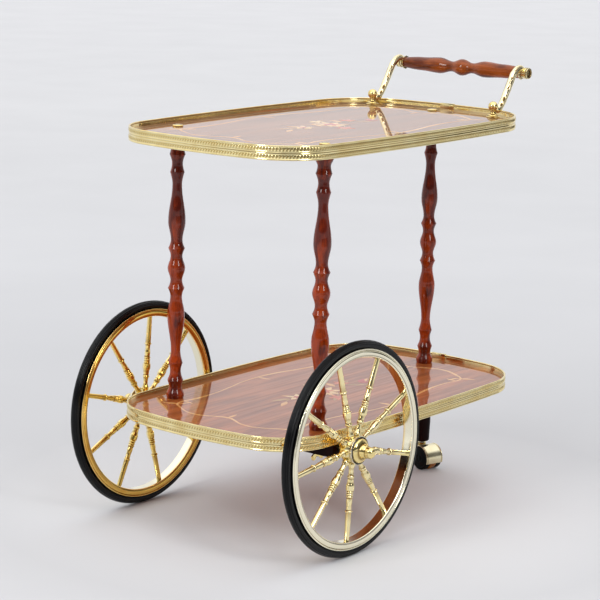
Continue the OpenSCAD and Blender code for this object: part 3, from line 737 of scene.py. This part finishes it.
def border_ring(low, high):
    """The scalloped line inside the tray's edge, swelling and thinning as a knife-cut strip does."""
    quarter = [Vector(p) for p in BORDER_QUARTER]
    half = quarter + [Vector((p.x, -p.y)) for p in quarter[-2::-1]]
    loop = half + [Vector((-p.x, p.y)) for p in half[-2:0:-1]]
    route = loop[-2:] + loop + loop[:3]
    steps = BORDER_STEPS * len(loop)
    vertices, rings = [], []
    for i in range(steps):
        t = (2 + i / BORDER_STEPS) / (len(route) - 1)
        point, along = curve(route, t)
        width = 3.8 + 1.2 * math.sin(14 * math.pi * i / steps) + 0.6 * math.sin(38 * math.pi * i / steps)
        off = Vector((-along.y, along.x)) * width / 2
        rings.append(list(range(len(vertices), len(vertices) + 4)))
        for side, height in ((1, low), (-1, low), (-1, high), (1, high)):
            place = point + off * side
            vertices.append((place.x, place.y, height))
    return vertices, ring_faces(rings, 4, True), [0] * len(vertices)


def corner_sprays():
    """A leaf and a curl at each corner of the border."""
    shapes = []
    for x_side in (1, -1):
        for y_side in (1, -1):
            tip = math.degrees(math.atan2(y_side * 24, x_side * 15))
            turn = x_side * y_side
            shapes.append(blade(x_side * 222, y_side * 112, 30, 6.5, tip, 0.12 * turn))
            shapes.append(blade(x_side * 226, y_side * 112, 26, 5, tip + 150 * turn, -0.25 * turn))
            shapes.append(blade(x_side * 206, y_side * 119, 22, 4.5, tip + 205 * turn, 0.25 * turn))
    for x_side in (1, -1):
        shapes.append(blade(x_side * 239, 0, 26, 6, 90 - x_side * 90 + 180, 0.1))
        shapes.append(blade(0, x_side * 136, 24, 6, x_side * -90, 0.1))
    return shapes


SPRAY = {
    "leaf": [stalk([(-116, -10), (-78, 4), (-30, -6), (22, 4), (66, -4), (108, -14)], 1.6, 1.2),
             stalk([(-30, -6), (-12, 20), (14, 34)], 1.4, 1), stalk([(22, 4), (8, -22), (-16, -42)], 1.4, 1),
             blade(-78, 4, 38, 10, 150, 0.15), blade(-52, -1, 34, 9, 215, -0.18),
             blade(50, 0, 36, 10, 30, -0.16), blade(60, -3, 34, 9, -52, 0.15),
             blade(-16, -42, 26, 8, 200, 0.1), blade(14, 34, 26, 8, 25, -0.1)],
    "maple": [blade(-98, -4, 30, 9, 195, 0.1), blade(-60, 2, 30, 8, 122, -0.15),
              blade(86, -9, 34, 9, 8, 0.12), blade(36, 4, 32, 9, 68, 0.1), blade(0, 0, 40, 9, -120, 0.15),
              blade(-30, -6, 34, 9, 62, 0.12)],
    "cream": petals(0, -2, 7, 30, 12, 10) + petals(-62, 4, 5, 20, 9, 40) + petals(10, 34, 5, 15, 7, 15),
    "coral": petals(0, -2, 5, 17, 9, 30) + petals(-18, -44, 5, 17, 8, 0) + petals(62, 12, 5, 15, 7, 20),
    "red": [blade(88, -6, 24, 11, 12, 0.1), blade(86, -9, 22, 9, -20, -0.1)] + petals(-62, 4, 5, 9, 5, 4)
           + petals(0, -2, 6, 8, 5, 0),
}


def make_marquetry(tier):
    """Thin pieces of coloured veneer let into a board: a border, corner leaves and a spray of flowers."""
    low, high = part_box(tier + "_board")
    middle_of_tray = Matrix.Translation(((low.x + high.x) / 2, (low.y + high.y) / 2, high.z))
    woods = {"leaf": LEAF, "maple": MAPLE, "cream": CREAM, "coral": CORAL, "red": RED}
    rise = INLAY_RISE
    for kind, wood in woods.items():
        shapes = list(SPRAY[kind])
        parts = []
        if kind == "maple":
            shapes += corner_sprays()
            parts.append(border_ring(-INLAY_DEPTH, rise - 2.5 * INLAY_STEP))
        for shape in shapes:
            parts.append(prism(shape, -INLAY_DEPTH, rise))
            rise += INLAY_STEP
        vertices, faces, hollow = merged(parts)
        piece("%s_inlay_%s" % (tier, kind), vertices, faces, wood, "frame", (),
              middle_of_tray, hollow)


make_marquetry("upper")
make_marquetry("lower")


# ---------- handle ----------

ARM_ROUTE = [(5.4, -5.6), (15.5, -6.2), (24, 0.6), (31.5, 10.5), (39.5, 22), (48, 35), (55.5, 46),
             (63.5, 53.4), (72, 56.6), (79, 56.4), (86, 52.5)]
ARM_SIDES = 56
BALL_RISE = 18
ARM_R = 6.2
ARM_FLAT = 0.86
ROUND_END = 0.05    # share of the arm's length in which its lower end closes
PANEL_AT = 46       # degrees from the arm's front ridge to the middle of each engraved panel
PANELS = [(0.13, 0.33, "drops"), (0.40, 0.58, "crossed"), (0.64, 0.88, "ticks")]
KNUCKLES = [0.365, 0.61]


def engraving(t, angle):
    """Height of the arm's relief in millimetres and how hollow it is, at a share t of its length."""
    across = (math.degrees(abs(math.atan2(math.sin(angle), math.cos(angle)))) - PANEL_AT) / 22
    face = 1 - ease(abs(across), 0.7, 1.1)
    cut = 0
    for start, stop, kind in PANELS:
        inside = ease(t, start, start + 0.02) * (1 - ease(t, stop - 0.02, stop))
        share = (t - start) / (stop - start)
        if kind == "ticks":
            mark = ease(math.cos(2 * math.pi * (7.5 * share - 0.35 * across)), -0.5, 0.4)
        elif kind == "crossed":
            mark = ease(abs(abs(2 * share - 1) * 1.3 - abs(across)), 0.12, 0.4)
        else:
            mark = ease(abs(math.sin(2 * math.pi * share)) - 0.5 * abs(across), 0.05, 0.5)
        cut = max(cut, inside * mark)
    bead = sum(math.exp(-((t - at) / 0.016) ** 2) for at in KNUCKLES)
    # the cut's hollow value paints shade into the engraving
    return 0.35 * bead * face - 0.55 * cut * face, min(1, face * cut)


def arm_mesh():
    """The arm in the XZ plane, with thick smooth edges and two rows of engraved panels in front."""
    steps = 240
    vertices, hollow, rings = [], [], []
    for i in range(steps + 1):
        t = i / steps
        point, along = curve(ARM_ROUTE, t)
        width = ARM_R * (0.88 + 0.14 * math.sin(math.radians(170 * t)))
        close = math.sqrt(1 - (1 - min(1, t / ROUND_END)) ** 2)
        rings.append(list(range(len(vertices), len(vertices) + ARM_SIDES)))
        for k in range(ARM_SIDES):
            angle = 2 * math.pi * k / ARM_SIDES
            rise, shade = engraving(t, angle)
            reach = (width + rise) * max(close, 0.05)
            off = reach * math.cos(angle)
            vertices.append((point.x - along.y * off, reach * ARM_FLAT * math.sin(angle),
                             point.y + along.x * off))
            hollow.append(shade)
    faces = ring_faces(rings, ARM_SIDES, False) + [list(reversed(rings[0])), rings[-1]]
    return vertices, faces, hollow


def fluted(part, count, start, stop, depth):
    """Presses flutes round a turned piece that deepen from one height to another."""
    vertices, faces, hollow = part
    shaped = []
    shades = []
    for (x, y, z), shade in zip(vertices, hollow):
        press = 0.5 - 0.5 * math.cos(count * math.atan2(y, x))
        grip = depth * press * ease(z, start, stop)
        radius = math.hypot(x, y) or 1
        shaped.append((x * (1 - grip / radius), y * (1 - grip / radius), z))
        # painted shade, deepest in the flutes
        shades.append(min(1, shade + 0.7 * press * ease(z, start, stop)))
    return shaped, faces, shades


FLANGE = [(0, 21, True), (0.4, 22, True), (1.2, 22, True), (3.4, 17, False), (6.5, 10, False),
          (9, 8.6, False), (12.8, 9.4, True)]
BALL = arc(0, BALL_RISE, 8, -52, 90, 18)
COLLAR = [(-5, 17, True), (-4.6, 19, True), (-3.2, 19, True), (-2.4, 17, False), (0.5, 17.6, False),
          (4.2, 23.6, True), (5, 23.2, True)]
END_CAP = [(0, -10.3), (3.2, -10.2), (3.6, -9.7), (5, -9.6), (6.2, -9.9), (6.6, -10.8), (7.4, -11),
           (8.6, -10.8), (9.1, -10.2), (8.9, -9.4), (8.4, -8.6), (9.2, -8.2), (9.4, -7), (9.2, -5.8),
           (8, -5), (0, -5)]
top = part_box("upper_board")[1].z
grip = middle("handle_grip")
for side, sign in (("left", -1), ("right", 1)):
    spot = middle("handle_flange_" + side)
    lathed("handle_flange_%s_turned" % side, solid(turned(FLANGE, 6) + BALL)[:-1], 72, POLISHED, "frame",
           ["handle_flange_" + side], pose(Vector((spot.x, spot.y, top)), (1, 0, 0), UP))

    vertices, faces, hollow = arm_mesh()
    piece("handle_arm_%s_engraved" % side, vertices, faces, HANDLE_BRASS, "frame",
          ["handle_arm_" + side], Matrix.Translation((spot.x, spot.y, top + BALL_RISE * MM)), hollow,
          sharp=60)

    hold = pose(Vector((grip.x, spot.y, grip.z)), (1, 0, 0), (0, -sign, 0))
    vertices, faces, hollow = fluted(lathe(solid(turned(COLLAR, 6)), 120), 12, -1.5, 4, 1.3)
    piece("handle_collar_" + side, vertices, faces, HANDLE_BRASS, "frame",
          ["handle_arm_" + side], hold, hollow)
    lathed("handle_end_cap_" + side, END_CAP, 72, HANDLE_BRASS, "frame",
           ["handle_end_caps"], hold)


# ---------- nuts, axle block and caster ----------

CAP_NUT = [(0, 15.6, True), (0.4, 16.8, True), (1.7, 16.8, True), (2.6, 15, True), (2.7, 13, True),
           (3.2, 8, False), (3.3, 2, True)]
for place, post in (("front_left", "axle_post_left"), ("front_right", "axle_post_right"),
                    ("rear", "handle_end_post")):
    spot = middle(post)
    lathed("cap_nut_" + place, solid(turned(CAP_NUT, 5)), 64, POLISHED, "frame",
           ["tie_rod_cap_nuts"], pose(Vector((spot.x, spot.y, top)), (1, 0, 0), UP))

softened("tie_rod_wing_nuts", 0.5, POLISHED, "frame")
softened("handle_flange_nuts", 0.4, POLISHED, "frame")
softened("axle_block", 1.4, DARK_WOOD, "frame")
softened("caster_core", 0.6, AMBER, "caster")

CASTER_TURN = math.radians(-106)
BOSS_H = 12
BOSS = [(0, 13, True), (10.4, 15, True), (10.8, 15.6, True), (11.6, 15.6, True), (BOSS_H, 14.8, True)]
CASTER_WHEEL = [(0, -5.2), (18.6, -5.2), (19.4, -4.9), (20, -4.1), (20, 4), (19.6, 4.7), (18.8, 5.1),
                (17.2, 5.2), (16.6, 4.7), (15.4, 4.6), (14.8, 4.9), (6.4, 5.1), (5.8, 4.6), (5.2, 4.5),
                (4.4, 5.0), (0, 5.1)]
hub = (middle("caster_wheel_left") + middle("caster_wheel_right")) / 2
AWAY = Vector((math.cos(CASTER_TURN), math.sin(CASTER_TURN), 0))
ACROSS = Vector((-AWAY.y, AWAY.x, 0))


def make_hood():
    """Brass mudguard: a band bent over both wheels with rolled edges, and the boss for the stem."""
    # the third number of each row is painted shade, dark in the crease under each rolled edge
    half = [(20.7, 15.4, 0), (20.5, 16.4, 0), (21.0, 17.1, 0), (21.8, 17.2, 0), (22.3, 16.6, 0),
            (22.1, 15.9, 0), (21.9, 15.3, 0.8), (22.0, 13, 0), (22.0, 6, 0)]
    section = [(radius, -across, shade) for radius, across, shade in half] + half[::-1]
    steps = 72
    start, stop = math.radians(-18), math.radians(154)
    vertices, hollow, rings = [], [], []
    for i in range(steps + 1):
        angle = start + (stop - start) * i / steps
        rings.append(list(range(len(vertices), len(vertices) + len(section))))
        for radius, across, shade in section:
            vertices.append((radius * math.cos(angle), across, radius * math.sin(angle)))
            hollow.append(shade)
    faces = ring_faces(rings, len(section), False) + [list(reversed(rings[0])), rings[-1]]
    piece("caster_hood_rolled", vertices, faces, HOOD_BRASS, "caster", ["caster_hood"],
          pose(hub, AWAY, UP), hollow)
    stem = middle("caster_stem")
    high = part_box("caster_hood")[1].z
    lathed("caster_hood_boss", solid(turned(BOSS, 3)), 64, POLISHED, "caster",
           ["caster_hood"], pose(Vector((stem.x, stem.y, high - BOSS_H * MM)), (1, 0, 0), UP))


make_hood()
for side, sign in (("left", 1), ("right", -1)):
    name = "caster_wheel_" + side
    lathed(name + "_moulded", CASTER_WHEEL, 96, NYLON, name, [name],
           pose(middle(name), AWAY, ACROSS * sign))


# ---------- carried-over CAD nodes get their materials ----------

def paint(material, *nodes):
    for node in nodes:
        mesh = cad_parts[node].data
        mesh.materials.clear()
        mesh.materials.append(material)


paint(UPPER_WALNUT, "upper_board", "upper_marquetry_panel")
paint(LOWER_WALNUT, "lower_board", "lower_marquetry_panel")
paint(STEEL, "tie_rods", "stub_axle_left", "stub_axle_right", "handle_rod", "caster_stem", "caster_socket",
      "caster_pin")
paint(POLISHED, "axle_spacers")


# ---------- floor, light and camera ----------

FLOOR_R = 60
# painted light: the floor right under the cart is lighter, lifting the cart's shadow
NEAR_TONE = (0.84, 0.84, 0.85, 1)
# the floor's further colours, each with the distances in metres between which it takes over; the dark ring is
# painted shade that evens out the lamps' light near the cart, and the paler tones further out are painted
# light where the lamps reach less
TONES = [(0.1, 0.55, (0.57, 0.57, 0.58, 1)), (0.8, 2.2, (0.68, 0.68, 0.69, 1)),
         (2.0, 5.5, (0.775, 0.773, 0.778, 1)), (5.0, 11, (0.815, 0.812, 0.82, 1))]
DIM_SIDE = (-0.407, -0.914, 0)      # the way to the stretch of floor darkened with painted shade
DIM_ROOM = (-0.5, -0.866, 0)        # the way to the dim room
FLAG_L = 3
FLAG_H = 1.2


def vector_math(tree, operation, first, second=None):
    node = tree.nodes.new("ShaderNodeVectorMath")
    node.operation = operation
    tree.links.new(first, node.inputs[0])
    if second:
        node.inputs[1].default_value = second
    return node.outputs


def make_floor():
    """A wide pale floor with painted light and shade: lighter right under the cart, darkest in a ring round
    it, with a dim stretch of painted shade far out on one side.
    """
    shape = bmesh.new()
    bmesh.ops.create_circle(shape, cap_ends=True, segments=128, radius=FLOOR_R)
    mesh = bpy.data.meshes.new("floor")
    shape.to_mesh(mesh)
    shape.free()
    surface = Surface("floor", Roughness=0.75, Specular_IOR_Level=0.2)
    tree = surface.tree
    distance = vector_math(tree, "LENGTH", surface.coordinates)["Value"]
    colour = NEAR_TONE
    for start, stop, further in TONES:
        colour = surface.mix(surface.fit(distance, start, stop), colour, further)
    facing = vector_math(tree, "NORMALIZE", surface.coordinates)["Vector"]
    toward = vector_math(tree, "DOT_PRODUCT", facing, DIM_SIDE)["Value"]
    # painted shade: the floor darkened far out on the dim side
    dim_stretch_shade = tree.nodes.new("ShaderNodeMath")
    dim_stretch_shade.operation = "MULTIPLY"
    tree.links.new(surface.fit(toward, 0.75, 0.83), dim_stretch_shade.inputs[0])
    tree.links.new(surface.fit(distance, 1.4, 2.0), dim_stretch_shade.inputs[1])
    colour = surface.mix(dim_stretch_shade.outputs["Value"], colour, (0.2, 0.2, 0.2, 1))
    mottle = surface.fit(surface.noise(3, detail=4), 0.3, 0.7, 0, 0.08)
    surface.link(surface.mix(mottle, colour, (0.45, 0.45, 0.46, 1)), "Base Color")
    mesh.materials.append(surface.material)
    placed("floor", mesh)


def make_flag():
    """A dim studio card beside the cart, which is seen only in reflections."""
    mesh = bpy.data.meshes.new("flag")
    mesh.from_pydata([(0, 0, 0), (0, 0, FLAG_L), (0, FLAG_H, FLAG_L), (0, FLAG_H, 0)], [], [[0, 1, 2, 3]])
    surface = Surface("flag", Roughness=0.9, Specular_IOR_Level=0.1)
    along = surface.fit(surface.height(), 0, 0.5)
    surface.link(surface.mix(along, (0.5, 0.5, 0.5, 1), (0.05, 0.045, 0.03, 1)), "Base Color")
    mesh.materials.append(surface.material)
    flag = placed("flag", mesh, pose((1.95, -1.8, 0.02), (0, 1, 0), (1, 0, 0)))
    flag.visible_camera = flag.visible_diffuse = flag.visible_shadow = False


def make_light(name, place, aim, width, height, power):
    lamp = bpy.data.lights.new(name, "AREA")
    lamp.shape = "RECTANGLE"
    lamp.size = width
    lamp.size_y = height
    lamp.energy = power
    holder = placed(name, lamp)
    holder.location = place
    holder.rotation_euler = (Vector(aim) - Vector(place)).to_track_quat("-Z", "Y").to_euler()
    holder.visible_camera = False


def make_world():
    """Pale round the horizon and above, with a dim room at eye height on one side."""
    world = bpy.data.worlds.new("studio")
    world.use_nodes = True
    tree = world.node_tree
    tree.nodes.clear()
    output = tree.nodes.new("ShaderNodeOutputWorld")
    background = tree.nodes.new("ShaderNodeBackground")
    tree.links.new(background.outputs["Background"], output.inputs["Surface"])
    ways = tree.nodes.new("ShaderNodeTexCoord").outputs["Generated"]
    parts = tree.nodes.new("ShaderNodeSeparateXYZ")
    tree.links.new(ways, parts.inputs["Vector"])

    def ramp(*stops):
        """Grey levels from the horizon up, as (sine of the elevation, level) pairs."""
        node = tree.nodes.new("ShaderNodeValToRGB")
        node.color_ramp.interpolation = "EASE"
        while len(node.color_ramp.elements) < len(stops):
            node.color_ramp.elements.new(0.5)
        for element, (place, level) in zip(node.color_ramp.elements, stops):
            element.position = place
            element.color = (level * 0.992, level, level * 1.025, 1)
        tree.links.new(parts.outputs["Z"], node.inputs["Fac"])
        return node.outputs["Color"]

    blend = tree.nodes.new("ShaderNodeMapRange")
    blend.inputs["From Min"].default_value = -0.35
    blend.inputs["From Max"].default_value = 0.1
    tree.links.new(vector_math(tree, "DOT_PRODUCT", ways, DIM_ROOM)["Value"], blend.inputs["Value"])
    mix = tree.nodes.new("ShaderNodeMix")
    mix.data_type = "RGBA"
    tree.links.new(blend.outputs["Result"], mix.inputs["Factor"])
    backdrop = ramp((0, 0.67), (0.45, 0.7), (0.7, 0.98), (1, 1.1))
    room = ramp((0, 0.7), (0.07, 0.7), (0.12, 0.09), (0.5, 0.13), (0.72, 0.98), (1, 1.1))
    tree.links.new(backdrop, mix.inputs[6])
    tree.links.new(room, mix.inputs[7])
    tree.links.new(mix.outputs[2], background.inputs["Color"])
    background.inputs["Strength"].default_value = 1.25
    bpy.context.scene.world = world


def make_camera():
    """The photograph's view: a long lens from the front left, a little above the upper tray."""
    azimuth = math.radians(-51.78)
    elevation = math.radians(11.45)
    roll = math.radians(1.23)
    back = Vector((math.sin(azimuth) * math.cos(elevation), -math.cos(azimuth) * math.cos(elevation),
                   math.sin(elevation)))
    level = (-back).cross(Vector(UP)).normalized()
    over = level.cross(-back)
    right = level * math.cos(roll) + over * math.sin(roll)
    up = over * math.cos(roll) - level * math.sin(roll)
    lens = bpy.data.cameras.new("camera")
    lens.sensor_width = 36
    lens.lens = 134.5
    lens.clip_end = 200
    turn = Matrix((right, up, back)).transposed().to_4x4()
    place = Matrix.Translation((-2.79975, -2.14612, 1.04556))
    bpy.context.scene.camera = placed("camera", lens, place @ turn)


make_floor()
make_flag()
make_world()
make_light("overhead", (-0.4, -0.6, 3.4), (0, 0, 0.3), 3.0, 3.0, 12)
make_light("left_softbox", (-3.0, 0.3, 2.1), (0, 0, 0.4), 0.8, 1.2, 34)
make_light("right_softbox", (-0.9, -2.9, 2.1), (0, 0, 0.4), 0.7, 1.2, 29)
make_camera()
bpy.context.scene.view_settings.view_transform = "Standard"

bpy.context.view_layer.update()
